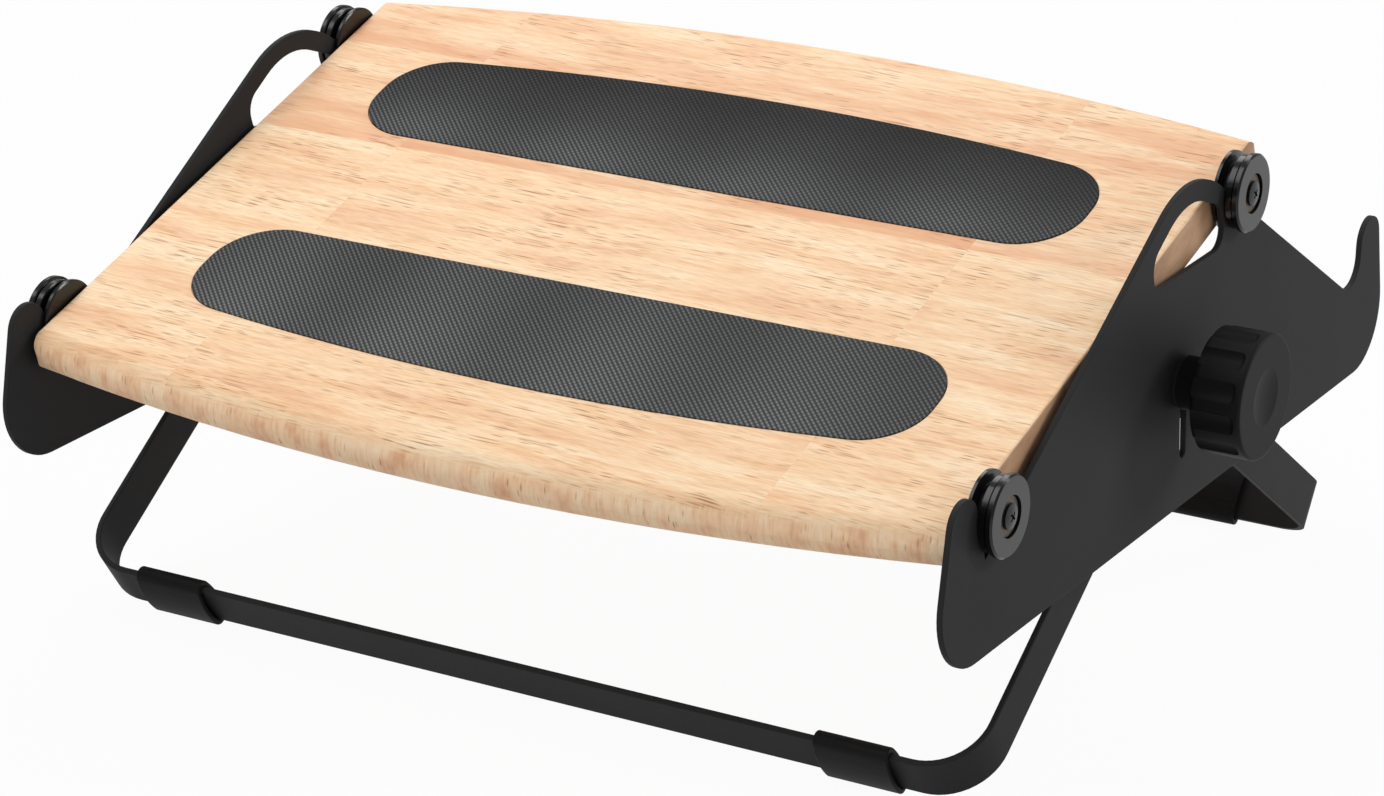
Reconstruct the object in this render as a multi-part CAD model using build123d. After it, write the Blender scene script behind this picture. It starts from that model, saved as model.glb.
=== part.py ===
from build123d import *
import os
from math import acos, asin, cos, degrees, hypot, pi, radians, sin, sqrt, tan

os.makedirs("parts", exist_ok=True)

# A footrest: a wooden board on four grooved rollers, cradled by two steel side plates.
# Two crossing U-shaped legs of flat bar carry the plates on one clamp bolt a side.
# X runs across the board, Y from front to rear, Z up from the floor.
# The origin lies on the floor under the middle of the clamp bolts' axis.

# Board
board_width = 500.0
board_depth = 373.0
board_thickness = 22.0
board_bow = 21.3
board_corner_radius = 3.0
board_nose_radius = 10.4
board_underside_radius = 10.4
board_side_round = 1.5
board_tilt = 16.7

# Anti-slip mats, let into the top of the board
mat_length = 404.0
mat_inner_offset = 45.3
mat_outer_offset = 126.5
mat_thickness = 1.6
mat_proud = 0.5
mat_pocket_clearance = 0.3
mat_end_radius = 32.0

# Rollers
roller_pitch = 263.2
rollers_ahead_of_board_centre = 1.8
roller_radius = 19.2
roller_width = 13.6
roller_below_top = 9.2
groove_radius = 13.5
groove_flare = 0.9
groove_root_round = 0.3
groove_side_clearance = 0.4
inner_flange = 2.4
rim_round = 0.9
band_groove_width = 0.7
band_groove_depth = 1.1
middle_band_width = 3.2
counterbore_radius = 9.8
roller_play = 0.1

# Roller fixings
screw_radius = 3.0
screw_head_radius = 6.0
screw_head_height = 2.3
screw_head_crown = 0.9
screw_head_recess = 1.3
cross_width = 1.1
cross_span = 5.0
cross_depth = 1.8
cross_angle = 32.0
bush_radius = 4.0
bush_fit = 0.05
bush_flange_radius = 9.2
bush_flange_thickness = 0.6
spacer_radius = 6.5
spacer_thickness = 0.6
insert_radius = 4.7
insert_length = 20.0
insert_flange_radius = 6.2
insert_flange_thickness = 1.0
screw_engagement = 16.0
thread_clearance = 0.06

# Side plates
plate_thickness = 3.0
bolt_behind_board_centre = 53.1
roller_line_above_bolt = 58.7
base_below_bolt = 63.8
base_angle = 17.0
front_edge_angle = 61.5
front_edge_ahead_of_roller = 41.7
front_lip_radius = 12.9
base_corner_radius = 32.0
seat_clearance = 0.3
ramp_angle = 14.2
ramp_below_roller = 11.6
arch_angle = -37.8
arch_above_roller = 2.0
arch_radius = 60.0
rear_slope_angle = -48.9
rear_slope_below_roller = 3.8
slope_blend_radius = 59.0
hook_inner_angle = 70.4
hook_inner_behind_bolt = 213.2
hook_inner_below_bolt = 43.8
hook_inner_radius = 13.6
hook_shoulder_radius = 13.0
hook_tip_angle = 4.0
hook_tip_below_bolt = 50.0
hook_tip_radius = 11.0
hook_outer_angle = 82.8
hook_outer_behind_bolt = 228.8
hook_outer_below_bolt = 83.2
loop_rim = 10.5
loop_floor_above_bolt = 55.5
loop_ahead_of_bolt = 17.5
loop_behind_bolt = 57.0
loop_small_radius = 4.5
loop_corner_radius = 11.0
loop_arch_radius = 44.0
loop_end_radius = 8.5
slot_angle = 76.0
slot_width = 6.2
slot_travel = 36.0

# Legs
bar_width = 25.0
bar_thickness = 3.0
front_leg_bend_radius = 30.0
rear_leg_bend_radius = 20.0
front_leg_reach = 238.0
front_leg_angle = 34.0
rear_leg_angle = 35.7

# Rubber sleeves on the floor bars
sleeve_wall = 2.5
sleeve_edge_gap = 0.8
sleeve_corner_gap = 0.4
sleeve_bulge = 1.7
sleeve_length = 38.0
sleeve_inside_front_leg = 59.5

# Clamp bolts, washers and knobs
bolt_radius = 3.0
bolt_fit = 0.05
bolt_head_radius = 8.0
bolt_head_height = 3.4
bolt_head_rim = 0.9
bolt_square = 6.0
bolt_square_clearance = 0.1
washer_radius = 12.0
washer_thickness = 1.5
knob_neck_radius = 13.0
knob_neck_length = 14.5
knob_radius = 30.6
knob_body_length = 23.6
knob_shoulder = 3.0
knob_lobes = 12
knob_lobe_turn = 10.4
knob_flute_radius = 7.0
knob_flute_depth = 2.4
knob_flute_stop = 0.7
knob_flute_end_round = 2.6
knob_cap_radius = 30.6
knob_cap_thickness = 2.4
knob_cap_dish = 1.5
knob_cap_dish_radius = 14.0
knob_cap_round = 1.6
knob_cap_spigot_radius = 20.0
knob_cap_spigot_length = 2.0
knob_bolt_play = 2.0
knob_insert_radius = 5.5
knob_insert_length = 18.0
knob_insert_groove = 0.6

# One overrun for every cut
overrun = 5.0

# Places worked out from the sizes above
half_board = board_width / 2
spacer_face = half_board + spacer_thickness
roller_inner_face = spacer_face + roller_play
roller_outer_face = roller_inner_face + roller_width
groove_inner_face = roller_inner_face + inner_flange
groove_width = plate_thickness + 2 * groove_side_clearance
plate_inner_face = groove_inner_face + groove_side_clearance
plate_outer_face = plate_inner_face + plate_thickness
rear_leg_face = plate_inner_face
front_leg_face = rear_leg_face - bar_thickness
sleeve_centre = front_leg_face - sleeve_inside_front_leg
bolt_head_face = front_leg_face - bar_thickness
washer_face = plate_outer_face + washer_thickness
knob_body_face = washer_face + knob_neck_length
knob_cap_face = knob_body_face + knob_body_length
screw_head_seat = roller_outer_face - screw_head_recess
bush_flange_face = screw_head_seat - bush_flange_thickness
counterbore_face = bush_flange_face - roller_play
sleeve_reach = bar_width / 2 + sleeve_edge_gap + sleeve_wall
sleeve_flat_reach = bar_width / 2
sleeve_flat_height = bar_thickness / 2 + sleeve_corner_gap + sleeve_wall
seat_radius = groove_radius + seat_clearance


def sleeve_drop(angle):
    """Height of the bar's middle over the floor when its sleeve rests there."""
    rise = sleeve_reach - sleeve_flat_reach
    end_radius = (sleeve_flat_height ** 2 + rise ** 2) / (2 * rise)
    return (sleeve_reach - end_radius) * cos(radians(angle)) + end_radius


bolt_height = (front_leg_reach - bar_thickness / 2) * sin(radians(front_leg_angle))
bolt_height = bolt_height + sleeve_drop(front_leg_angle)
rear_rise = bolt_height - sleeve_drop(rear_leg_angle)
rear_leg_reach = rear_rise / sin(radians(rear_leg_angle)) + bar_thickness / 2
board_centre = -bolt_behind_board_centre
board_top = roller_line_above_bolt + roller_below_top
roller_middle = board_centre - rollers_ahead_of_board_centre
front_roller = (roller_middle - roller_pitch / 2, roller_line_above_bolt)
rear_roller = (roller_middle + roller_pitch / 2, roller_line_above_bolt)
platform = Pos(0, 0, bolt_height) * Rot(board_tilt, 0, 0)


# Plane geometry for the outlines
def line_by(point, angle, side=0.0):
    """A line at an angle, moved to its left by a distance."""
    a = radians(angle)
    return (point[0] - side * sin(a), point[1] + side * cos(a)), a


def meet(first, second):
    """The point where two lines cross."""
    (x1, y1), a = first
    (x2, y2), b = second
    t = ((x2 - x1) * sin(b) - (y2 - y1) * cos(b)) / sin(b - a)
    return (x1 + t * cos(a), y1 + t * sin(a))


def rounded_outline(corners):
    """A closed face through corners given as (point, radius)."""
    edges = []
    ends = []
    count = len(corners)
    for i in range(count):
        (px, py), radius = corners[i]
        ax, ay = corners[i - 1][0]
        bx, by = corners[(i + 1) % count][0]
        la = hypot(ax - px, ay - py)
        lb = hypot(bx - px, by - py)
        ua = ((ax - px) / la, (ay - py) / la)
        ub = ((bx - px) / lb, (by - py) / lb)
        half = acos(ua[0] * ub[0] + ua[1] * ub[1]) / 2
        run = radius / tan(half)
        start = (px + ua[0] * run, py + ua[1] * run)
        end = (px + ub[0] * run, py + ub[1] * run)
        mx, my = ua[0] + ub[0], ua[1] + ub[1]
        mid_run = radius * (1 / sin(half) - 1) / hypot(mx, my)
        ends.append((start, (px + mx * mid_run, py + my * mid_run), end, radius))
    for i in range(count):
        start, middle, end, radius = ends[i]
        if radius > 0:
            edges.append(ThreePointArc(start, middle, end))
        edges.append(Line(end, ends[(i + 1) % count][0]))
    return make_face(edges)


def slab(face, start, thickness):
    """A face drawn in (Y, Z) and pushed along X from start."""
    plane = Plane(origin=(start, 0, 0), x_dir=(0, 1, 0), z_dir=(1, 0, 0))
    return extrude(plane * face, amount=thickness)


def rod(start, length, radius, at=(0.0, 0.0)):
    """A round bar along X."""
    return slab(Pos(at[0], at[1]) * Circle(radius), start, length)


def turned(points, at=(0.0, 0.0)):
    """A turned piece about an axis along X; points are (X, radius)."""
    profile = make_face([Line(points[i - 1], points[i]) for i in range(len(points))])
    return Pos(0, at[0], at[1]) * revolve(profile, Axis.X)


def domed(base, rim, crown, radius, sense, at=(0.0, 0.0)):
    """A round head: a straight rim with a crowned top, from base along sense."""
    dome_radius = (radius ** 2 + crown ** 2) / (2 * crown)
    top = base + sense * (rim + crown)
    half = radius / 2
    sag = dome_radius - sqrt(dome_radius ** 2 - half ** 2)
    profile = make_face([
        Line((base, 0.0), (base, radius)),
        Line((base, radius), (base + sense * rim, radius)),
        ThreePointArc((base + sense * rim, radius), (top - sense * sag, half), (top, 0.0)),
        Line((top, 0.0), (base, 0.0)),
    ])
    return Pos(0, at[0], at[1]) * revolve(profile, Axis.X)


def to_left(solid):
    return mirror(solid, Plane.YZ)


def save(name, solid):
    solid.label = name
    export_step(solid, f"parts/{name}.step")


# Board with its bowed ends, mat pockets and side holes
def bow_line(half_depth, depth_at_side, half_width):
    """The arc of a bowed edge, from side to side."""
    return ThreePointArc((-half_width, depth_at_side), (0, half_depth), (half_width, depth_at_side))


def edge_notch(radius, level, sense):
    """Section of what a rounding cutter takes at one edge; the arc starts level and ends upright."""
    bend = radius * (1 - sqrt(0.5))
    out = level + sense * overrun
    return make_face([
        ThreePointArc((-radius, level), (-bend, level - sense * bend), (0, level - sense * radius)),
        Line((0, level - sense * radius), (overrun, level - sense * radius)),
        Line((overrun, level - sense * radius), (overrun, out)),
        Line((overrun, out), (-radius, out)),
        Line((-radius, out), (-radius, level)),
    ])


def nose_cutter(notch):
    """One notch led along the rear bow and on past both sides."""
    bow_radius = (half_board ** 2 + board_bow ** 2) / (2 * board_bow)
    bow_middle = board_depth / 2 - bow_radius
    half_angle = degrees(asin((half_board + overrun) / (bow_radius - board_depth / 2)))
    upright = Pos(bow_radius, bow_middle, 0) * (Plane.XZ * notch)
    bow = revolve(upright, Axis((0, bow_middle, 0), (0, 0, 1)), revolution_arc=2 * half_angle)
    return Pos(0, bow_middle, 0) * Rot(0, 0, 90.0 - half_angle) * Pos(0, -bow_middle, 0) * bow


def board_blank():
    """The bowed plan with rounded sides, and a fuller nose along its front and rear."""
    half = board_depth / 2
    side = half - board_bow
    rear = bow_line(half, side, half_board)
    front = bow_line(-half, -side, half_board)
    right = Line((half_board, -side), (half_board, side))
    left = Line((-half_board, -side), (-half_board, side))
    solid = extrude(make_face([front, right, rear, left]), amount=-board_thickness)
    solid = fillet(solid.edges().filter_by(Axis.Z), board_corner_radius)
    floor = -board_thickness
    for level, sense, radius in ((0.0, 1, board_nose_radius), (floor, -1, board_underside_radius)):
        long_edge = extrude(Plane.XZ * edge_notch(board_side_round, level, sense), amount=board_depth, both=True)
        long_edge = Pos(half_board, 0, 0) * long_edge
        solid = solid - long_edge - to_left(long_edge)
        cutter = nose_cutter(edge_notch(radius, level, sense))
        solid = solid - cutter - mirror(cutter, Plane.XZ)
    return solid


def mat_outline(grow):
    """One mat's plan: straight inside edge, bowed outside edge, rounded ends."""
    half = mat_length / 2 + grow
    bow_radius = ((half_board) ** 2 + board_bow ** 2) / (2 * board_bow)
    outer_radius = bow_radius - (board_depth / 2 - mat_outer_offset)
    drop = outer_radius - sqrt(outer_radius ** 2 - half ** 2)
    inner = mat_inner_offset - grow
    outer = mat_outer_offset + grow
    top = bow_line(outer, outer - drop, half)
    low = Line((-half, inner), (half, inner))
    right = Line((half, inner), (half, outer - drop))
    left = Line((-half, inner), (-half, outer - drop))
    face = make_face([low, right, top, left])
    radius = min(mat_end_radius, (outer - drop - inner) / 2 - mat_proud)
    return fillet(face.vertices(), radius)


def board_place(solid):
    """From the board's own frame to the object's."""
    return platform * Pos(0, board_centre, board_top) * solid


def roller_sites():
    """Side, end and place of the four rollers."""
    sites = []
    for end, at in (("front", front_roller), ("rear", rear_roller)):
        for side in ("left", "right"):
            sites.append((side, end, at))
    return sites


def make_board():
    solid = board_blank()
    depth = mat_thickness - mat_proud
    pocket = Pos(0, 0, -depth) * extrude(mat_outline(mat_pocket_clearance), amount=depth + overrun)
    solid = solid - pocket - mirror(pocket, Plane.XZ)
    hole_radius = insert_radius + thread_clearance
    flange_hole = insert_flange_radius + thread_clearance
    for roller in (front_roller, rear_roller):
        at = (roller[0] - board_centre, -roller_below_top)
        hole = rod(half_board - insert_length - overrun / 2, insert_length + overrun, hole_radius, at)
        hole = hole + rod(half_board - insert_flange_thickness, overrun, flange_hole, at)
        solid = solid - hole - to_left(hole)
    return board_place(solid)


def make_mat(rear):
    solid = Pos(0, 0, mat_proud - mat_thickness) * extrude(mat_outline(0.0), amount=mat_thickness)
    if not rear:
        solid = mirror(solid, Plane.XZ)
    return board_place(solid)


# Rollers and what holds them
def make_roller(at):
    """A grooved wheel: thin inner flange, plate groove, two outer bands."""
    x0 = roller_inner_face
    x1 = groove_inner_face
    x2 = x1 + groove_width
    x3 = x2 + middle_band_width
    x4 = x3 + band_groove_width
    x5 = roller_outer_face
    bore = bush_radius + bush_fit
    low = roller_radius - rim_round
    points = [
        (x0, bore),
        (x0, low),
        (x0 + rim_round / 2, roller_radius),
        (x1 - groove_flare / 2, roller_radius),
        (x1, low - groove_flare),
        (x1, groove_radius + groove_root_round),
        (x1 + groove_root_round, groove_radius),
        (x2 - groove_root_round, groove_radius),
        (x2, groove_radius + groove_root_round),
        (x2, low - groove_flare),
        (x2 + groove_flare / 2, roller_radius - band_groove_depth),
        (x3, roller_radius - band_groove_depth),
        (x3 + band_groove_width / 2, roller_radius - 2 * band_groove_depth),
        (x4, roller_radius - band_groove_depth / 2),
        (x4 + rim_round / 2, roller_radius),
        (x5 - rim_round, roller_radius),
        (x5, low),
        (x5, counterbore_radius),
        (counterbore_face, counterbore_radius),
        (counterbore_face, bore),
    ]
    return turned(points, at)


def make_roller_screw(at):
    """Pan-head screw with a cross recess."""
    tip = half_board - screw_engagement
    shank = rod(tip, screw_head_seat - tip, screw_radius, at)
    rim = screw_head_height - screw_head_crown
    head = domed(screw_head_seat, rim, screw_head_crown, screw_head_radius, 1, at)
    cross = Rectangle(cross_span, cross_width) + Rectangle(cross_width, cross_span)
    top = screw_head_seat + screw_head_height
    cut = slab(Pos(at[0], at[1]) * Rot(0, 0, cross_angle) * cross, top - cross_depth, cross_depth + overrun)
    return shank + head - cut


def make_roller_bush(at):
    """Flanged bush that the roller turns on; its flange fills the counterbore."""
    length = screw_head_seat - spacer_face
    bush = rod(spacer_face, length, bush_radius, at)
    bush = bush + rod(bush_flange_face, bush_flange_thickness, bush_flange_radius, at)
    return bush - rod(spacer_face - overrun, length + 2 * overrun, screw_radius + thread_clearance, at)


def make_roller_spacer(at):
    ring = rod(half_board, spacer_thickness, spacer_radius, at)
    return ring - rod(half_board - overrun, 2 * overrun, screw_radius + thread_clearance, at)


def make_board_insert(at):
    body = rod(half_board - insert_length, insert_length, insert_radius, at)
    flange = rod(half_board - insert_flange_thickness, insert_flange_thickness, insert_flange_radius, at)
    bore = rod(half_board - insert_length - overrun, insert_length + 2 * overrun,
               screw_radius + thread_clearance, at)
    return body + flange - bore


# Side plates
def plate_lines():
    """The straight edges of a side plate, by name."""
    origin = (0.0, 0.0)
    lip_back = (front_roller[0] - seat_radius, front_roller[1])
    lines = {
        "base": line_by(origin, -base_angle, -base_below_bolt),
        "front": line_by(front_roller, front_edge_angle, front_edge_ahead_of_roller),
        "lip": line_by(lip_back, 90.0),
        "ramp": line_by(front_roller, ramp_angle, -ramp_below_roller),
        "arch": line_by(rear_roller, arch_angle, arch_above_roller),
        "slope": line_by(rear_roller, rear_slope_angle, -rear_slope_below_roller),
        "hook": line_by((hook_inner_behind_bolt, -hook_inner_below_bolt), hook_inner_angle),
        "tip": line_by((hook_outer_behind_bolt, -hook_tip_below_bolt), hook_tip_angle),
        "back": line_by((hook_outer_behind_bolt, -hook_outer_below_bolt), hook_outer_angle),
    }
    return lines


def plate_face():
    edge = plate_lines()
    corners = [
        (meet(edge["base"], edge["front"]), base_corner_radius),
        (meet(edge["front"], edge["lip"]), front_lip_radius),
        (meet(edge["lip"], edge["ramp"]), 0.0),
        (meet(edge["ramp"], edge["arch"]), arch_radius),
        (meet(edge["arch"], edge["slope"]), slope_blend_radius),
        (meet(edge["slope"], edge["hook"]), hook_inner_radius),
        (meet(edge["hook"], edge["tip"]), hook_shoulder_radius),
        (meet(edge["tip"], edge["back"]), hook_tip_radius),
        (meet(edge["back"], edge["base"]), base_corner_radius),
    ]
    return rounded_outline(corners)


def loop_face():
    """The finger loop under the arch."""
    edge = plate_lines()
    ramp = line_by(edge["ramp"][0], ramp_angle, -loop_rim)
    arch = line_by(edge["arch"][0], arch_angle, -loop_rim)
    floor = line_by((0.0, 0.0), -base_angle, loop_floor_above_bolt)
    left = line_by((-loop_ahead_of_bolt, 0.0), 90.0)
    right = line_by((loop_behind_bolt, 0.0), 90.0)
    return rounded_outline([
        (meet(floor, left), loop_small_radius),
        (meet(left, ramp), loop_corner_radius),
        (meet(ramp, arch), loop_arch_radius),
        (meet(arch, right), loop_end_radius),
        (meet(right, floor), loop_end_radius),
    ])


def slot_face():
    """The height slot: the bolt stands at its upper end."""
    slot = SlotCenterToCenter(slot_travel, slot_width)
    return Rot(0, 0, slot_angle) * Pos(-slot_travel / 2, 0) * slot


def make_side_plate():
    face = plate_face() - loop_face() - slot_face()
    for seat in (front_roller, rear_roller):
        face = face - Pos(seat[0], seat[1]) * Circle(seat_radius)
    solid = slab(face, plate_inner_face, plate_thickness)
    return platform * solid


# Legs of flat bar with their rubber sleeves
def leg_place(angle, rear):
    """From a leg's own frame, with its bar at -Z, to the object's."""
    turn = 90.0 - angle if rear else angle - 90.0
    return Pos(0, 0, bolt_height) * Rot(turn, 0, 0)


def leg_outline(half, reach, radius):
    """A U drawn in (X, Z), open at the top."""
    left = Line((-half, bar_width), (-half, radius - reach))
    right = Line((half, radius - reach), (half, bar_width))
    floor = Line((radius - half, -reach), (half - radius, -reach))
    turn = radius * (1 - sqrt(0.5))
    bend_left = ThreePointArc((-half, radius - reach), (turn - half, turn - reach), (radius - half, -reach))
    bend_right = ThreePointArc((half - radius, -reach), (half - turn, turn - reach), (half, radius - reach))
    top = Line((half, bar_width), (-half, bar_width))
    return make_face([left, bend_left, floor, bend_right, right, top])


def make_leg(face, reach, bend_radius, angle, rear, hole):
    inner_radius = bend_radius - bar_thickness
    outer = leg_outline(face, reach, bend_radius)
    inner = leg_outline(face - bar_thickness, reach - bar_thickness, inner_radius)
    ring = outer - inner
    plane = Plane(origin=(0, bar_width / 2, 0), x_dir=(1, 0, 0), z_dir=(0, -1, 0))
    leg = extrude(plane * ring, amount=bar_width)
    end = rod(-face, 2 * face, bar_width / 2)
    low = Pos(0, 0, -reach) * Box(2 * face, bar_width, 2 * reach)
    leg = leg & (end + low)
    leg = leg - slab(hole, -face - overrun, 2 * (face + overrun))
    return leg_place(angle, rear) * leg


def sleeve_oval(inset):
    """A sleeve's bulging oval, long across the bar's width; inset by the wall for its hole."""
    end = sleeve_reach - inset
    flat = sleeve_flat_reach
    height = sleeve_flat_height - inset
    crown = height + sleeve_bulge
    return make_face([
        ThreePointArc((-flat, height), (0, crown), (flat, height)),
        ThreePointArc((flat, height), (end, 0), (flat, -height)),
        ThreePointArc((flat, -height), (0, -crown), (-flat, -height)),
        ThreePointArc((-flat, -height), (-end, 0), (-flat, height)),
    ])


def make_sleeve(reach, angle, rear, side):
    ring = sleeve_oval(0.0) - sleeve_oval(sleeve_wall)
    solid = slab(ring, side * sleeve_centre - sleeve_length / 2, sleeve_length)
    return leg_place(angle, rear) * Pos(0, 0, bar_thickness / 2 - reach) * solid


# Clamp bolts, washers and knobs
def make_clamp_bolt():
    """Cup-square bolt: domed head inside the legs, square neck, round shank."""
    crown = bolt_head_height - bolt_head_rim
    head = domed(bolt_head_face, bolt_head_rim, crown, bolt_head_radius, -1)
    neck = slab(Rectangle(bolt_square, bolt_square), bolt_head_face, bar_thickness)
    tip = knob_cap_face - knob_bolt_play - knob_insert_groove
    shank = rod(bolt_head_face, tip - bolt_head_face, bolt_radius)
    return Pos(0, 0, bolt_height) * (head + neck + shank)


def make_clamp_washer():
    ring = rod(plate_outer_face, washer_thickness, washer_radius)
    ring = ring - rod(plate_outer_face - overrun, 2 * overrun, bolt_radius + bolt_fit)
    return Pos(0, 0, bolt_height) * ring


def knob_flute(turn):
    """A scoop with a rounded end that stops short of the cap."""
    out = knob_radius - knob_flute_depth + knob_flute_radius
    start = knob_body_face - overrun
    length = knob_cap_face - knob_flute_stop - start
    cutter = rod(start, length, knob_flute_radius, (out, 0.0))
    cutter = fillet(cutter.edges().sort_by(Axis.X)[-1], knob_flute_end_round)
    return Rot(turn + knob_lobe_turn, 0, 0) * cutter


def make_knob():
    shoulder = knob_body_face + knob_shoulder
    grip = rod(knob_body_face, knob_body_length, knob_radius)
    grip = fillet(grip.edges().sort_by(Axis.X)[0], knob_shoulder)
    for i in range(knob_lobes):
        grip = grip - knob_flute(degrees(2 * pi * i / knob_lobes))
    neck = rod(washer_face, shoulder - washer_face, knob_neck_radius)
    knob = grip + neck
    bore = knob_insert_radius + thread_clearance
    knob = knob - rod(washer_face - overrun, knob_cap_face - washer_face - knob_bolt_play + overrun, bore)
    recess = knob_cap_spigot_radius + thread_clearance
    knob = knob - rod(knob_cap_face - knob_cap_spigot_length, knob_cap_spigot_length + overrun, recess)
    return Pos(0, 0, bolt_height) * knob


def make_knob_insert():
    """Threaded brass bush moulded into the neck."""
    ring = rod(washer_face, knob_insert_length, knob_insert_radius)
    middle = washer_face + knob_insert_length / 2
    band = rod(middle - knob_insert_groove, 2 * knob_insert_groove, knob_insert_radius + overrun)
    band = band - rod(middle - overrun, 2 * overrun, knob_insert_radius - knob_insert_groove)
    ring = ring - band
    ring = ring - rod(washer_face - overrun, knob_insert_length + 2 * overrun, bolt_radius + bolt_fit)
    return Pos(0, 0, bolt_height) * ring


def make_knob_cap():
    """Smooth round cover, dished in the middle, on a spigot."""
    top = knob_cap_face + knob_cap_thickness
    disc = rod(knob_cap_face, knob_cap_thickness, knob_cap_radius)
    disc = fillet(disc.edges().sort_by(Axis.X)[-1], knob_cap_round)
    dish_radius = (knob_cap_dish_radius ** 2 + knob_cap_dish ** 2) / (2 * knob_cap_dish)
    disc = disc - Pos(top - knob_cap_dish + dish_radius, 0, 0) * Sphere(dish_radius)
    start = knob_cap_face - knob_cap_spigot_length + knob_insert_groove
    spigot = rod(start, knob_cap_face - start, knob_cap_spigot_radius)
    return Pos(0, 0, bolt_height) * (disc + spigot)


# Build every node
def main():
    save("board", make_board())
    save("front_mat", make_mat(False))
    save("rear_mat", make_mat(True))
    for side, end, at in roller_sites():
        pieces = {
            "roller": make_roller(at),
            "roller_screw": make_roller_screw(at),
            "roller_bush": make_roller_bush(at),
            "roller_spacer": make_roller_spacer(at),
            "board_insert": make_board_insert(at),
        }
        for name, solid in pieces.items():
            if side == "left":
                solid = to_left(solid)
            save(f"{name}_{end}_{side}", platform * solid)
    hinge_hole = Circle(bolt_radius + bolt_fit)
    square = bolt_square + 2 * bolt_square_clearance
    keyed_hole = Rectangle(square, square)
    save("rear_leg", make_leg(
        rear_leg_face, rear_leg_reach, rear_leg_bend_radius, rear_leg_angle, True, hinge_hole))
    keyed_hole = Rot(0, 0, 90.0 - front_leg_angle) * keyed_hole
    save("front_leg", make_leg(
        front_leg_face, front_leg_reach, front_leg_bend_radius, front_leg_angle, False, keyed_hole))
    for side, sign in (("left", -1), ("right", 1)):
        save(f"front_sleeve_{side}", make_sleeve(front_leg_reach, front_leg_angle, False, sign))
        save(f"rear_sleeve_{side}", make_sleeve(rear_leg_reach, rear_leg_angle, True, sign))
    pairs = {
        "side_plate": make_side_plate(),
        "clamp_bolt": make_clamp_bolt(),
        "clamp_washer": make_clamp_washer(),
        "knob": make_knob(),
        "knob_insert": make_knob_insert(),
        "knob_cap": make_knob_cap(),
    }
    for name, solid in pairs.items():
        save(f"{name}_right", solid)
        save(f"{name}_left", to_left(solid))


main()
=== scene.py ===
import math

import bmesh
import bpy
from mathutils import Matrix, Vector


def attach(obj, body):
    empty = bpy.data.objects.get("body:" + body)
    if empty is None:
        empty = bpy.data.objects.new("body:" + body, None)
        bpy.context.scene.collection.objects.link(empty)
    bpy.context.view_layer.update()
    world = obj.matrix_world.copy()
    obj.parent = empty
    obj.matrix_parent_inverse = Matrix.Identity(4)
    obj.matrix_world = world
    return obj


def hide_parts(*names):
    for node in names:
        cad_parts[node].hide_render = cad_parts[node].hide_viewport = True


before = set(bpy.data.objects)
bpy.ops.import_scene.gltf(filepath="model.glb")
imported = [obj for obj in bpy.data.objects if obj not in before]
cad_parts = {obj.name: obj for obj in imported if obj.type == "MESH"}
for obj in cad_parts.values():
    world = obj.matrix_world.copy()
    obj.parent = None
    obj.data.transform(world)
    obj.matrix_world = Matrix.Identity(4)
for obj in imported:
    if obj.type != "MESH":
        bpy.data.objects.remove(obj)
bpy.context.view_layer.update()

# A footrest: a rubberwood board on four grooved rollers between two black steel side plates.
# Everything here is in metres, in the CAD's own place: X across the board, Y to the rear, Z up.

MM = 0.001

# The board and the plates lie in one tilted plane that turns about the clamp bolts' axis.
BOARD_TILT = math.radians(16.7)
BOLT_HEIGHT = 146.131 * MM
BOARD_TOP = 67.9 * MM
BOARD_CENTRE = -53.1 * MM

# The board's staves; one border lies in front of the middle of its top, and one joint to the left of it
STAVE_WIDTH = 83 * MM
STAVE_LENGTH = 323 * MM
STAVE_BORDER = 46.9 * MM
STAVE_JOINT = 163 * MM

# The mats' embossing, its first band of painted sheen to the left of the middle, and where the painted sheen
# from the front to the rear of the mats starts and ends
RIB_PITCH = 2.12 * MM
BEAD_PITCH = 2.6 * MM
PAINTED_SHEEN_PITCH = 101 * MM
FIRST_PAINTED_SHEEN = 165 * MM
PAINTED_SHEEN_FRONT = -113 * MM
PAINTED_SHEEN_REAR = 115 * MM

# The camera, solved from the photograph's straight edges; its lens and sensor are in millimetres
CAMERA_PLACE = (1.0512, -1.7901, 0.8794)
CAMERA_AZIMUTH = math.radians(30.73)
CAMERA_ELEVATION = math.radians(20.83)
CAMERA_ROLL = math.radians(-0.36)
CAMERA_LENS = 114.76
SENSOR_WIDTH = 36.0

# The studio
FLOOR_HALF = 6.0
FLOOR_WHITE_SHARE = 0.95
SKY_STRENGTH = 0.46
LIT_POINT = (0.0, -0.03, 0.15)


# Colours and nodes

def linear(code):
    """A hex colour as linear red, green, blue and alpha."""
    parts = [int(code[i:i + 2], 16) / 255 for i in (1, 3, 5)]
    return tuple(c / 12.92 if c <= 0.04045 else ((c + 0.055) / 1.055) ** 2.4 for c in parts) + (1.0,)


def new_material(name):
    """A material with an empty node tree."""
    material = bpy.data.materials.new(name)
    material.use_nodes = True
    material.node_tree.nodes.clear()
    return material, material.node_tree


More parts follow.
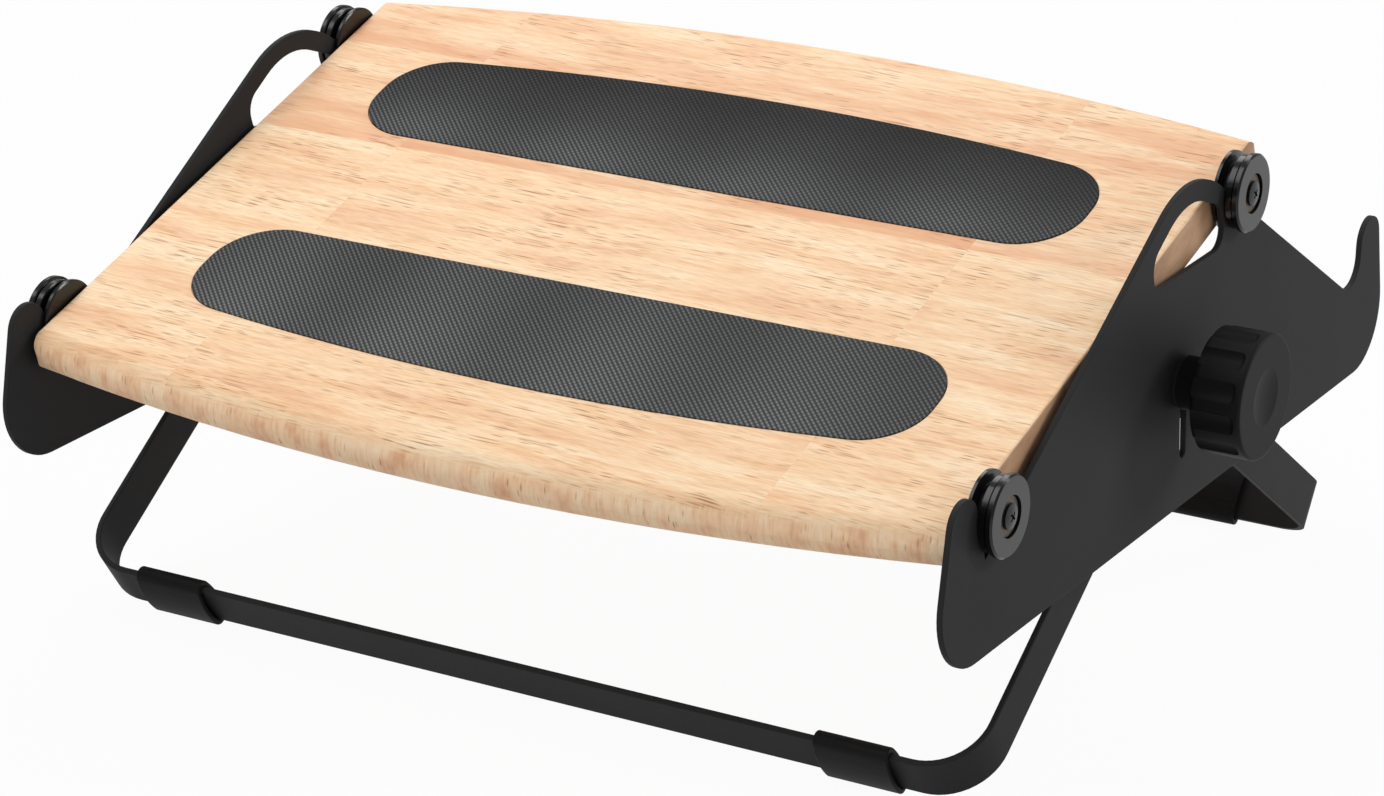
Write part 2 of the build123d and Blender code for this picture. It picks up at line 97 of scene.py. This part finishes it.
def add(tree, kind, settings=None, **inputs):
    """A node with its settings, where stops are a colour ramp's places and hex colours. An input is named,
    or numbered as in0, and is a value, a hex colour, a socket, or a node whose first live output is meant."""
    node = tree.nodes.new(kind)
    for key, value in (settings or {}).items():
        if key == "stops":
            marks = node.color_ramp.elements
            while len(marks) < len(value):
                marks.new(0.5)
            for mark, (position, code) in zip(marks, value):
                mark.position = position
                mark.color = linear(code)
        else:
            setattr(node, key, value)
    for key, value in inputs.items():
        if key[:2] == "in" and key[2:].isdigit():
            socket = node.inputs[int(key[2:])]
        else:
            socket = next(s for s in node.inputs if s.enabled and s.name == key.replace("_", " "))
        if isinstance(value, bpy.types.Node):
            value = next(s for s in value.outputs if s.enabled)
        if isinstance(value, bpy.types.NodeSocket):
            tree.links.new(value, socket)
        else:
            socket.default_value = linear(value) if isinstance(value, str) else value
    return node


def in_board_plane(tree):
    """Object coordinates turned into the board's own plane, with the middle of its top at zero."""
    place = add(tree, "ShaderNodeTexCoord").outputs["Object"]
    shifted = add(tree, "ShaderNodeVectorMath", {"operation": "SUBTRACT"}, in0=place, in1=(0, 0, BOLT_HEIGHT))
    turned = add(tree, "ShaderNodeVectorRotate", {"rotation_type": "X_AXIS"}, Vector=shifted, Angle=-BOARD_TILT)
    return add(tree, "ShaderNodeVectorMath", {"operation": "SUBTRACT"},
               in0=turned, in1=(0, BOARD_CENTRE, BOARD_TOP))


# Materials

def make_rubberwood():
    """Edge-glued rubberwood, planed and clear-lacquered: cream with peach clouds and short dark pores.
    Real pores are 0.3 mm wide; they are drawn at 0.6 mm to show."""
    material, tree = new_material("rubberwood_lacquered")
    place = in_board_plane(tree)
    spot = add(tree, "ShaderNodeSeparateXYZ", Vector=place)

    # Each stave has its own cut of the grain, and its own tint
    rows = add(tree, "ShaderNodeMath", {"operation": "MULTIPLY_ADD"},
               in0=spot.outputs["Y"], in1=1 / STAVE_WIDTH, in2=STAVE_BORDER / STAVE_WIDTH)
    row = add(tree, "ShaderNodeMath", {"operation": "FLOOR"}, in0=rows)
    in_row = add(tree, "ShaderNodeMath", {"operation": "FRACT"}, in0=rows)
    lengths = add(tree, "ShaderNodeMath", {"operation": "MULTIPLY_ADD"},
                  in0=spot.outputs["X"], in1=1 / STAVE_LENGTH, in2=STAVE_JOINT / STAVE_LENGTH)
    piece = add(tree, "ShaderNodeMath", {"operation": "FLOOR"}, in0=lengths)
    stave = add(tree, "ShaderNodeCombineXYZ", X=piece, Y=row)
    chance = add(tree, "ShaderNodeTexWhiteNoise", {"noise_dimensions": "2D"}, Vector=stave)
    chances = add(tree, "ShaderNodeSeparateXYZ", Vector=chance.outputs["Color"])
    cut = add(tree, "ShaderNodeVectorMath", {"operation": "MULTIPLY_ADD"},
              in0=chance.outputs["Color"], in1=(3.0, 3.0, 3.0), in2=place)

    # The grain lies 2 degrees off the board's length, and wanders by a millimetre or two
    leaning = add(tree, "ShaderNodeMapping", Vector=cut, Rotation=(0, 0, math.radians(2)))
    slow = add(tree, "ShaderNodeMapping", Vector=leaning, Scale=(9, 18, 18))
    wander = add(tree, "ShaderNodeTexNoise", Vector=slow, Scale=1.0, Detail=2.0)
    grain = add(tree, "ShaderNodeVectorMath", {"operation": "MULTIPLY_ADD"},
                in0=wander, in1=(0.0, 0.006, 0.006), in2=leaning)

    # Clouds 14 mm across and 80 mm long, streaks 3 mm across and 40 mm long, and fibres finer still
    wide = add(tree, "ShaderNodeMapping", Vector=grain, Scale=(12, 70, 70))
    cloud = add(tree, "ShaderNodeTexNoise", Vector=wide, Scale=1.0, Detail=3.0, Roughness=0.55)
    colour = add(tree, "ShaderNodeValToRGB",
                 {"stops": ((0.3, "#f4caa4"), (0.46, "#fcdbb4"), (0.63, "#ffe7c5"))}, Fac=cloud)
    narrow = add(tree, "ShaderNodeMapping", Vector=grain, Scale=(25, 330, 330))
    streak = add(tree, "ShaderNodeTexNoise", Vector=narrow, Scale=1.0, Detail=3.0, Roughness=0.6)
    streaks = add(tree, "ShaderNodeValToRGB",
                  {"stops": ((0.3, "#f1dccb"), (0.48, "#fcf4ea"), (0.6, "#ffffff"))}, Fac=streak)
    colour = add(tree, "ShaderNodeMix", {"data_type": "RGBA", "blend_type": "MULTIPLY"},
                 Factor=0.6, A=colour, B=streaks)
    fine = add(tree, "ShaderNodeMapping", Vector=grain, Scale=(110, 1300, 1300))
    fibre = add(tree, "ShaderNodeTexNoise", Vector=fine, Scale=1.0, Detail=2.0, Roughness=0.6)
    fibres = add(tree, "ShaderNodeValToRGB", {"stops": ((0.34, "#e8d8c8"), (0.6, "#ffffff"))}, Fac=fibre)
    colour = add(tree, "ShaderNodeMix", {"data_type": "RGBA", "blend_type": "MULTIPLY"},
                 Factor=0.5, A=colour, B=fibres)

    # Pinker heartwood towards the front edge of the staves behind the middle
    lean = add(tree, "ShaderNodeValToRGB",
               {"stops": ((0.0, "#ffffff"), (0.2, "#d0d0d0"), (0.55, "#8c8c8c"), (1.0, "#848484"))}, Fac=in_row)
    behind = add(tree, "ShaderNodeMath", {"operation": "GREATER_THAN"}, in0=row, in1=0.5)
    depth = add(tree, "ShaderNodeMapRange", Value=behind, To_Min=0.12, To_Max=1.0)
    patchy = add(tree, "ShaderNodeMapRange", Value=cloud, From_Min=0.35, From_Max=0.6, To_Min=1.0, To_Max=0.35)
    heart = add(tree, "ShaderNodeMath", {"operation": "MULTIPLY"}, in0=lean, in1=depth)
    heart = add(tree, "ShaderNodeMath", {"operation": "MULTIPLY"}, in0=heart, in1=patchy)
    colour = add(tree, "ShaderNodeMix", {"data_type": "RGBA"}, Factor=heart, A=colour, B="#e6ab82")
    tint = add(tree, "ShaderNodeValToRGB", {"stops": ((0.0, "#fcf8f3"), (0.5, "#ffffff"))}, Fac=chances)
    colour = add(tree, "ShaderNodeMix", {"data_type": "RGBA", "blend_type": "MULTIPLY"},
                 Factor=0.7, A=colour, B=tint)

    # Open pores: dashes 4 to 20 mm long that lie thick in patches, some darker than others
    patches = add(tree, "ShaderNodeMapping", Vector=cut, Scale=(16, 60, 60))
    patch = add(tree, "ShaderNodeTexNoise", Vector=patches, Scale=1.0, Detail=2.0)
    thick = add(tree, "ShaderNodeMapRange", Value=patch, From_Min=0.38, From_Max=0.62, To_Min=0.12, To_Max=0.9)
    dashes = None
    for size in ((34, 700, 560), (80, 800, 640)):
        drawn_out = add(tree, "ShaderNodeMapping", Vector=grain, Scale=size)
        cells = add(tree, "ShaderNodeTexVoronoi", Vector=drawn_out, Scale=1.0)
        dash = add(tree, "ShaderNodeMapRange", Value=cells, From_Min=0.18, From_Max=0.4, To_Min=1.0, To_Max=0.0)
        pick = add(tree, "ShaderNodeSeparateXYZ", Vector=cells.outputs["Color"])
        dark = add(tree, "ShaderNodeMapRange", Value=pick, From_Min=0.15)
        dash = add(tree, "ShaderNodeMath", {"operation": "MULTIPLY"}, in0=dash, in1=dark)
        dashes = add(tree, "ShaderNodeMath", {"operation": "MAXIMUM"}, in0=dash, in1=dashes or 0.0)
    pores = add(tree, "ShaderNodeMath", {"operation": "MULTIPLY"}, in0=dashes, in1=thick)
    colour = add(tree, "ShaderNodeMix", {"data_type": "RGBA"}, Factor=pores, A=colour, B="#ac7149")

    # The normal in the board's own plane tells its top from its rounded edges and its sawn sides
    normal = add(tree, "ShaderNodeTexCoord").outputs["Normal"]
    facing = add(tree, "ShaderNodeVectorRotate", {"rotation_type": "X_AXIS"}, Vector=normal, Angle=-BOARD_TILT)
    facing = add(tree, "ShaderNodeVectorMath", {"operation": "ABSOLUTE"}, in0=facing)
    facing = add(tree, "ShaderNodeSeparateXYZ", Vector=facing)
    # Across the rounded edges the cutter opened the pores as upright ticks 4 mm high, on mottled cream
    mottles = add(tree, "ShaderNodeMapping", Vector=cut, Scale=(75, 45, 45))
    mottle = add(tree, "ShaderNodeTexNoise", Vector=mottles, Scale=1.0, Detail=3.0, Roughness=0.55)
    edge = add(tree, "ShaderNodeValToRGB",
               {"stops": ((0.32, "#eab48f"), (0.47, "#fbd3ac"), (0.64, "#ffe2be"))}, Fac=mottle)
    upright = add(tree, "ShaderNodeMapping", Vector=cut, Scale=(520, 60, 60))
    line = add(tree, "ShaderNodeTexNoise", Vector=upright, Scale=1.0, Detail=3.0, Roughness=0.6)
    lines = add(tree, "ShaderNodeValToRGB", {"stops": ((0.3, "#f0dac4"), (0.55, "#ffffff"))}, Fac=line)
    edge = add(tree, "ShaderNodeMix", {"data_type": "RGBA", "blend_type": "MULTIPLY"},
               Factor=0.7, A=edge, B=lines)
    ticks = add(tree, "ShaderNodeMapping", Vector=cut, Scale=(560, 110, 110))
    cells = add(tree, "ShaderNodeTexVoronoi", Vector=ticks, Scale=1.0)
    tick = add(tree, "ShaderNodeMapRange", Value=cells, From_Min=0.12, From_Max=0.32, To_Min=1.0, To_Max=0.0)
    pick = add(tree, "ShaderNodeSeparateXYZ", Vector=cells.outputs["Color"])
    dark = add(tree, "ShaderNodeMapRange", Value=pick, From_Min=0.35, To_Max=0.85)
    tick = add(tree, "ShaderNodeMath", {"operation": "MULTIPLY"}, in0=tick, in1=dark)
    edge = add(tree, "ShaderNodeMix", {"data_type": "RGBA"}, Factor=tick, A=edge, B="#b27f5a")
    steep = add(tree, "ShaderNodeMapRange", Value=facing.outputs["Z"],
                From_Min=0.55, From_Max=0.86, To_Min=1.0, To_Max=0.0)
    colour = add(tree, "ShaderNodeMix", {"data_type": "RGBA"}, Factor=steep, A=colour, B=edge)
    # End grain on the sawn sides drinks the lacquer and goes browner
    ends = add(tree, "ShaderNodeMapping", Vector=cut, Scale=(200, 30, 90))
    end_tone = add(tree, "ShaderNodeTexNoise", Vector=ends, Scale=1.0, Detail=4.0, Roughness=0.6)
    end_grain = add(tree, "ShaderNodeValToRGB",
                    {"stops": ((0.32, "#ab8264"), (0.5, "#bf9775"), (0.68, "#cea887"))}, Fac=end_tone)
    sawn = add(tree, "ShaderNodeMapRange", Value=facing.outputs["X"], From_Min=0.7, From_Max=0.95)
    colour = add(tree, "ShaderNodeMix", {"data_type": "RGBA"}, Factor=sawn, A=colour, B=end_grain)

    height = add(tree, "ShaderNodeMath", {"operation": "MULTIPLY_ADD"}, in0=fibre, in1=0.35, in2=1.0)
    height = add(tree, "ShaderNodeMath", {"operation": "SUBTRACT"}, in0=height, in1=pores)
    bump = add(tree, "ShaderNodeBump", Height=height, Strength=0.12, Distance=0.15 * MM)
    rough = add(tree, "ShaderNodeMapRange", Value=streak, From_Min=0.3, From_Max=0.7, To_Min=0.6, To_Max=0.5)
    shader = add(tree, "ShaderNodeBsdfPrincipled", Base_Color=colour, Roughness=rough, Normal=bump,
                 IOR=1.5, Specular_IOR_Level=0.3)
    add(tree, "ShaderNodeOutputMaterial", Surface=shader)
    return material


def make_mat_sheet():
    """Embossed PVC anti-slip sheet: rows of small beads on slanting ribs 2.1 mm apart, dull dark grey.
    The beads are as close in the real sheet; they are drawn 2.6 mm apart so that they show."""
    material, tree = new_material("pvc_embossed")
    place = in_board_plane(tree)
    slanted = add(tree, "ShaderNodeMapping", Vector=place, Rotation=(0, 0, math.radians(45)))
    along = add(tree, "ShaderNodeSeparateXYZ", Vector=slanted)
    waves = []
    for way, pitch in (("Y", RIB_PITCH), ("X", BEAD_PITCH)):
        turn = add(tree, "ShaderNodeMath", {"operation": "MULTIPLY"},
                   in0=along.outputs[way], in1=2 * math.pi / pitch)
        wave = add(tree, "ShaderNodeMath", {"operation": "COSINE"}, in0=turn)
        waves.append(add(tree, "ShaderNodeMath", {"operation": "MULTIPLY_ADD"}, in0=wave, in1=0.5, in2=0.5))
    rib, bead = waves
    crown = add(tree, "ShaderNodeMath", {"operation": "MULTIPLY_ADD"}, in0=bead, in1=0.5, in2=0.5)
    height = add(tree, "ShaderNodeMath", {"operation": "MULTIPLY"}, in0=rib, in1=crown)
    # Painted shade in the valleys of the embossing and a painted highlight on its crowns: the colour runs from
    # dark grey to light grey with the height
    relief_colour_with_painted_light = add(tree, "ShaderNodeValToRGB", {"stops": ((0.0, "#343535"), (0.4, "#4f5050"), (1.0, "#848586"))},
               Fac=height)
    # Painted sheen: the colour grows lighter and darker again once in every 101 mm across the sheet, over a
    # random cloudy tone
    spot = add(tree, "ShaderNodeSeparateXYZ", Vector=place)
    turn = add(tree, "ShaderNodeMath", {"operation": "MULTIPLY_ADD"},
               in0=spot.outputs["X"], in1=2 * math.pi / PAINTED_SHEEN_PITCH,
               in2=2 * math.pi * FIRST_PAINTED_SHEEN / PAINTED_SHEEN_PITCH)
    wave = add(tree, "ShaderNodeMath", {"operation": "COSINE"}, in0=turn)
    cloudy = add(tree, "ShaderNodeMapping", Vector=place, Scale=(30, 30, 30))
    cloud = add(tree, "ShaderNodeTexNoise", Vector=cloudy, Scale=1.0, Detail=2.0)
    tone_and_painted_sheen = add(tree, "ShaderNodeMath", {"operation": "MULTIPLY_ADD"}, in0=cloud, in1=0.12, in2=0.78)
    tone_and_painted_sheen = add(tree, "ShaderNodeMath", {"operation": "MULTIPLY_ADD"}, in0=wave, in1=0.13, in2=tone_and_painted_sheen)
    relief_colour_with_painted_light = add(tree, "ShaderNodeMix", {"data_type": "RGBA", "blend_type": "MULTIPLY"},
               Factor=1.0, A=relief_colour_with_painted_light, B=tone_and_painted_sheen)
    # Painted sheen and shade: each mat is lighter at its front and darker towards its rear
    across = add(tree, "ShaderNodeMapRange", Value=spot.outputs["Y"],
                 From_Min=PAINTED_SHEEN_FRONT, From_Max=PAINTED_SHEEN_REAR)
    painted_sheen_to_shade = add(tree, "ShaderNodeValToRGB",
               {"stops": ((0.0, "#ffffff"), (0.26, "#dcdcdc"), (0.74, "#e6e6e6"), (0.87, "#a6a6a6"),
                          (1.0, "#6a6a6a"))}, Fac=across)
    colour = add(tree, "ShaderNodeMix", {"data_type": "RGBA", "blend_type": "MULTIPLY"},
                 Factor=1.0, A=relief_colour_with_painted_light, B=painted_sheen_to_shade)
    bump = add(tree, "ShaderNodeBump", Height=height, Strength=0.8, Distance=0.3 * MM)
    shader = add(tree, "ShaderNodeBsdfPrincipled", Base_Color=colour, Roughness=0.55, Normal=bump,
                 IOR=1.5, Specular_IOR_Level=0.1)
    add(tree, "ShaderNodeOutputMaterial", Surface=shader)
    return material


def make_powder_coat():
    """Steel under fine-textured black polyester powder: a satin skin with a slight orange peel."""
    material, tree = new_material("powder_coated_steel")
    place = add(tree, "ShaderNodeTexCoord").outputs["Object"]
    peel = add(tree, "ShaderNodeTexNoise", Vector=place, Scale=1400.0, Detail=2.0)
    cloud = add(tree, "ShaderNodeTexNoise", Vector=place, Scale=14.0, Detail=2.0)
    colour = add(tree, "ShaderNodeValToRGB", {"stops": ((0.3, "#2d2d2e"), (0.7, "#313132"))}, Fac=cloud)
    rough = add(tree, "ShaderNodeMapRange", Value=peel, From_Min=0.3, From_Max=0.7, To_Min=0.5, To_Max=0.58)
    bump = add(tree, "ShaderNodeBump", Height=peel, Strength=0.12, Distance=0.08 * MM)
    shader = add(tree, "ShaderNodeBsdfPrincipled", Base_Color=colour, Roughness=rough, Normal=bump,
                 IOR=1.5, Specular_IOR_Level=0.05)
    add(tree, "ShaderNodeOutputMaterial", Surface=shader)
    return material


def make_roller_nylon():
    """Injection-moulded black nylon from a polished die: smooth and glossy, with a bright line on each rim."""
    material, tree = new_material("nylon_moulded_gloss")
    place = add(tree, "ShaderNodeTexCoord").outputs["Object"]
    swirl = add(tree, "ShaderNodeTexNoise", Vector=place, Scale=90.0, Detail=2.0)
    colour = add(tree, "ShaderNodeValToRGB", {"stops": ((0.3, "#0f0f10"), (0.7, "#131314"))}, Fac=swirl)
    rough = add(tree, "ShaderNodeMapRange", Value=swirl, From_Min=0.3, From_Max=0.7, To_Min=0.17, To_Max=0.23)
    shader = add(tree, "ShaderNodeBsdfPrincipled", Base_Color=colour, Roughness=rough,
                 IOR=1.53, Specular_IOR_Level=0.3)
    add(tree, "ShaderNodeOutputMaterial", Surface=shader)
    return material


def make_knob_nylon():
    """Glass-filled black nylon, moulded in a fine-sparked die: satin with soft highlights."""
    material, tree = new_material("nylon_spark_textured")
    place = add(tree, "ShaderNodeTexCoord").outputs["Object"]
    spark = add(tree, "ShaderNodeTexNoise", Vector=place, Scale=1800.0, Detail=2.0)
    colour = add(tree, "ShaderNodeValToRGB", {"stops": ((0.3, "#161617"), (0.7, "#1b1b1c"))}, Fac=spark)
    rough = add(tree, "ShaderNodeMapRange", Value=spark, From_Min=0.3, From_Max=0.7, To_Min=0.5, To_Max=0.58)
    bump = add(tree, "ShaderNodeBump", Height=spark, Strength=0.06, Distance=0.06 * MM)
    shader = add(tree, "ShaderNodeBsdfPrincipled", Base_Color=colour, Roughness=rough, Normal=bump,
                 IOR=1.53, Specular_IOR_Level=0.09)
    add(tree, "ShaderNodeOutputMaterial", Surface=shader)
    return material


def make_sleeve_rubber():
    """Extruded EPDM rubber: dull black with faint drawn lines along it."""
    material, tree = new_material("epdm_extruded")
    place = add(tree, "ShaderNodeTexCoord").outputs["Object"]
    drawn = add(tree, "ShaderNodeMapping", Vector=place, Scale=(40, 900, 900))
    lines = add(tree, "ShaderNodeTexNoise", Vector=drawn, Scale=1.0, Detail=2.0)
    colour = add(tree, "ShaderNodeValToRGB", {"stops": ((0.3, "#121213"), (0.7, "#1b1b1c"))}, Fac=lines)
    bump = add(tree, "ShaderNodeBump", Height=lines, Strength=0.08, Distance=0.08 * MM)
    shader = add(tree, "ShaderNodeBsdfPrincipled", Base_Color=colour, Roughness=0.6, Normal=bump,
                 IOR=1.5, Specular_IOR_Level=0.12)
    add(tree, "ShaderNodeOutputMaterial", Surface=shader)
    return material


def make_metal(name, scale, tones, smoothest, roughest, metallic):
    """A metal whose fine marks shift its colour and its roughness a little."""
    material, tree = new_material(name)
    place = add(tree, "ShaderNodeTexCoord").outputs["Object"]
    marks = add(tree, "ShaderNodeTexNoise", Vector=place, Scale=scale, Detail=3.0, Roughness=0.6)
    colour = add(tree, "ShaderNodeValToRGB", {"stops": tones}, Fac=marks)
    rough = add(tree, "ShaderNodeMapRange", Value=marks, From_Min=0.3, From_Max=0.7,
                To_Min=smoothest, To_Max=roughest)
    shader = add(tree, "ShaderNodeBsdfPrincipled", Base_Color=colour, Roughness=rough, Metallic=metallic)
    add(tree, "ShaderNodeOutputMaterial", Surface=shader)
    return material


# Pieces

def finished(mesh_builder, name, body, slot, material, *nodes):
    """Turns a bmesh into a piece that rides on a body and stands for CAD nodes."""
    mesh = bpy.data.meshes.new(name)
    mesh_builder.to_mesh(mesh)
    mesh_builder.free()
    mesh.materials.append(material)
    piece = bpy.data.objects.new(name, mesh)
    bpy.context.scene.collection.objects.link(piece)
    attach(piece, body)
    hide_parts(*nodes)


def merged_copy(node):
    """A CAD node's mesh with its points joined and its flat faces made whole."""
    shape = bmesh.new()
    shape.from_mesh(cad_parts[node].data)
    bmesh.ops.remove_doubles(shape, verts=shape.verts, dist=0.002 * MM)
    bmesh.ops.dissolve_limit(shape, angle_limit=math.radians(0.05), verts=shape.verts, edges=shape.edges)
    bmesh.ops.recalc_face_normals(shape, faces=shape.faces)
    return shape


def softened(node, width, segments=2, sharp=40.0):
    """A merged copy whose sharp edges are rounded. A narrow rim inside each rounded edge keeps the smooth
    shading of the rounding off the faces next to it."""
    shape = merged_copy(node)
    edges = [edge for edge in shape.edges
             if len(edge.link_faces) == 2 and edge.calc_face_angle(0) > math.radians(sharp)]
    bevel = bmesh.ops.bevel(shape, geom=edges, offset=width, offset_type="OFFSET", segments=segments,
                            profile=0.5, affect="EDGES", material=-1, clamp_overlap=True)
    rounds = set(bevel["faces"])
    plain = [face for face in shape.faces if face not in rounds]
    bmesh.ops.inset_region(shape, faces=plain, thickness=width / 2, use_even_offset=True, use_boundary=True)
    for face in shape.faces:
        face.smooth = True
    return shape


# Camera, floor, lights and sky

def make_camera():
    """Looks from the photograph's own place and angle."""
    back = Vector((math.sin(CAMERA_AZIMUTH) * math.cos(CAMERA_ELEVATION),
                   -math.cos(CAMERA_AZIMUTH) * math.cos(CAMERA_ELEVATION), math.sin(CAMERA_ELEVATION)))
    level = Vector((math.cos(CAMERA_AZIMUTH), math.sin(CAMERA_AZIMUTH), 0.0))
    above = back.cross(level)
    right = level * math.cos(CAMERA_ROLL) + above * math.sin(CAMERA_ROLL)
    up = above * math.cos(CAMERA_ROLL) - level * math.sin(CAMERA_ROLL)
    data = bpy.data.cameras.new("camera")
    data.sensor_fit = "HORIZONTAL"
    data.sensor_width = SENSOR_WIDTH
    data.lens = CAMERA_LENS
    data.clip_end = 50.0
    camera = bpy.data.objects.new("camera", data)
    turn = Matrix((right, up, back)).transposed().to_4x4()
    camera.matrix_world = Matrix.Translation(CAMERA_PLACE) @ turn
    bpy.context.scene.collection.objects.link(camera)
    bpy.context.scene.camera = camera


def make_floor():
    """Matt white paper that keeps a soft shadow, and is white to the camera and in reflections."""
    shape = bmesh.new()
    bmesh.ops.create_grid(shape, x_segments=1, y_segments=1, size=FLOOR_HALF)
    mesh = bpy.data.meshes.new("floor")
    shape.to_mesh(mesh)
    shape.free()
    floor = bpy.data.objects.new("floor", mesh)
    bpy.context.scene.collection.objects.link(floor)
    material, tree = new_material("paper_matt_white")
    paper = add(tree, "ShaderNodeBsdfDiffuse", Color="#d6d6d6")
    glow = add(tree, "ShaderNodeEmission", Color=(1, 1, 1, 1), Strength=1.0)
    path = add(tree, "ShaderNodeLightPath")
    mirrored = add(tree, "ShaderNodeMath", {"operation": "MAXIMUM"},
                   in0=path.outputs["Is Glossy Ray"], in1=path.outputs["Is Transmission Ray"])
    seen = add(tree, "ShaderNodeMath", {"operation": "MAXIMUM"},
               in0=path.outputs["Is Camera Ray"], in1=mirrored)
    share = add(tree, "ShaderNodeMath", {"operation": "MULTIPLY"}, in0=seen, in1=FLOOR_WHITE_SHARE)
    both = add(tree, "ShaderNodeMixShader", in0=share, in1=paper, in2=glow)
    add(tree, "ShaderNodeOutputMaterial", Surface=both)
    mesh.materials.append(material)


def make_light(name, place, size, power):
    """A square softbox that faces the object, with its size in metres and its power in watts."""
    data = bpy.data.lights.new(name, "AREA")
    data.shape = "SQUARE"
    data.size = size
    data.energy = power
    light = bpy.data.objects.new(name, data)
    light.location = place
    light.rotation_euler = (Vector(place) - Vector(LIT_POINT)).to_track_quat("Z", "Y").to_euler()
    bpy.context.scene.collection.objects.link(light)


def make_world():
    """A soft grey sky that the camera sees as white."""
    world = bpy.data.worlds.new("studio")
    bpy.context.scene.world = world
    world.use_nodes = True
    tree = world.node_tree
    tree.nodes.clear()
    path = add(tree, "ShaderNodeLightPath")
    soft = add(tree, "ShaderNodeBackground", Color=(1, 1, 1, 1), Strength=SKY_STRENGTH)
    white = add(tree, "ShaderNodeBackground", Color=(1, 1, 1, 1), Strength=1.0)
    both = add(tree, "ShaderNodeMixShader", in0=path.outputs["Is Camera Ray"], in1=soft, in2=white)
    add(tree, "ShaderNodeOutputWorld", Surface=both)


# The scene: a finish for every CAD node, then softened pieces in the place of the larger ones

make_camera()
make_floor()
make_world()
bpy.context.scene.view_settings.view_transform = "Standard"
make_light("key", (-0.9, -0.8, 2.3), 1.6, 29.0)
make_light("back", (-1.1, 1.6, 1.9), 1.4, 18.0)
make_light("side", (2.0, 1.5, 1.3), 0.8, 24.0)

rubberwood = make_rubberwood()
mat_sheet = make_mat_sheet()
powder = make_powder_coat()
roller_nylon = make_roller_nylon()
knob_nylon = make_knob_nylon()
sleeve_rubber = make_sleeve_rubber()
# Steel screws blackened in hot oxide: dark metal with a soft shine
black_oxide = make_metal("black_oxide_steel", 900.0, ((0.3, "#242425"), (0.75, "#373737")), 0.3, 0.42, 0.7)
# Oil-soaked sintered bronze: a dull grey-brown flange around each roller screw
bronze = make_metal("sintered_bronze_oiled", 1500.0, ((0.3, "#4a4038"), (0.7, "#655a50")), 0.4, 0.55, 0.6)
# Bright zinc-plated steel: pale metal, with turned marks too fine to see one by one
zinc = make_metal("zinc_plated_steel", 700.0, ((0.3, "#a9abad"), (0.7, "#c8cacc")), 0.25, 0.38, 1.0)
# Free-cutting brass, knurled and pressed in: warm metal, slightly dulled
brass = make_metal("brass_turned", 800.0, ((0.3, "#b08d4c"), (0.7, "#d6b56f")), 0.28, 0.4, 1.0)

FINISHES = (
    ("board_insert", brass), ("board", rubberwood), ("front_mat", mat_sheet), ("rear_mat", mat_sheet),
    ("side_plate", powder), ("front_leg", powder), ("rear_leg", powder),
    ("front_sleeve", sleeve_rubber), ("rear_sleeve", sleeve_rubber),
    ("roller_screw", black_oxide), ("roller_bush", bronze), ("roller_spacer", zinc), ("roller_", roller_nylon),
    ("clamp_bolt", zinc), ("clamp_washer", powder), ("knob_insert", brass), ("knob", knob_nylon),
)
for name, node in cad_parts.items():
    finish = next(material for start, material in FINISHES if name.startswith(start))
    node.data.materials.clear()
    node.data.materials.append(finish)

for side in ("left", "right"):
    finished(softened(f"side_plate_{side}", 0.45 * MM), f"plate_{side}", "side_plates", "powder_black",
             powder, f"side_plate_{side}")
    finished(softened(f"knob_{side}", 0.7 * MM, 3), f"knob_grip_{side}", f"knob_{side}", "knob_plastic",
             knob_nylon, f"knob_{side}")
    for end in ("front", "rear"):
        finished(softened(f"{end}_sleeve_{side}", 0.5 * MM), f"{end}_floor_sleeve_{side}", f"{end}_leg",
                 "sleeve_rubber", sleeve_rubber, f"{end}_sleeve_{side}")
for end in ("front", "rear"):
    finished(softened(f"{end}_leg", 0.6 * MM), f"{end}_leg_bar", f"{end}_leg", "powder_black",
             powder, f"{end}_leg")
    finished(softened(f"{end}_mat", 0.3 * MM), f"{end}_mat_sheet", "platform", "mat_rubber",
             mat_sheet, f"{end}_mat")
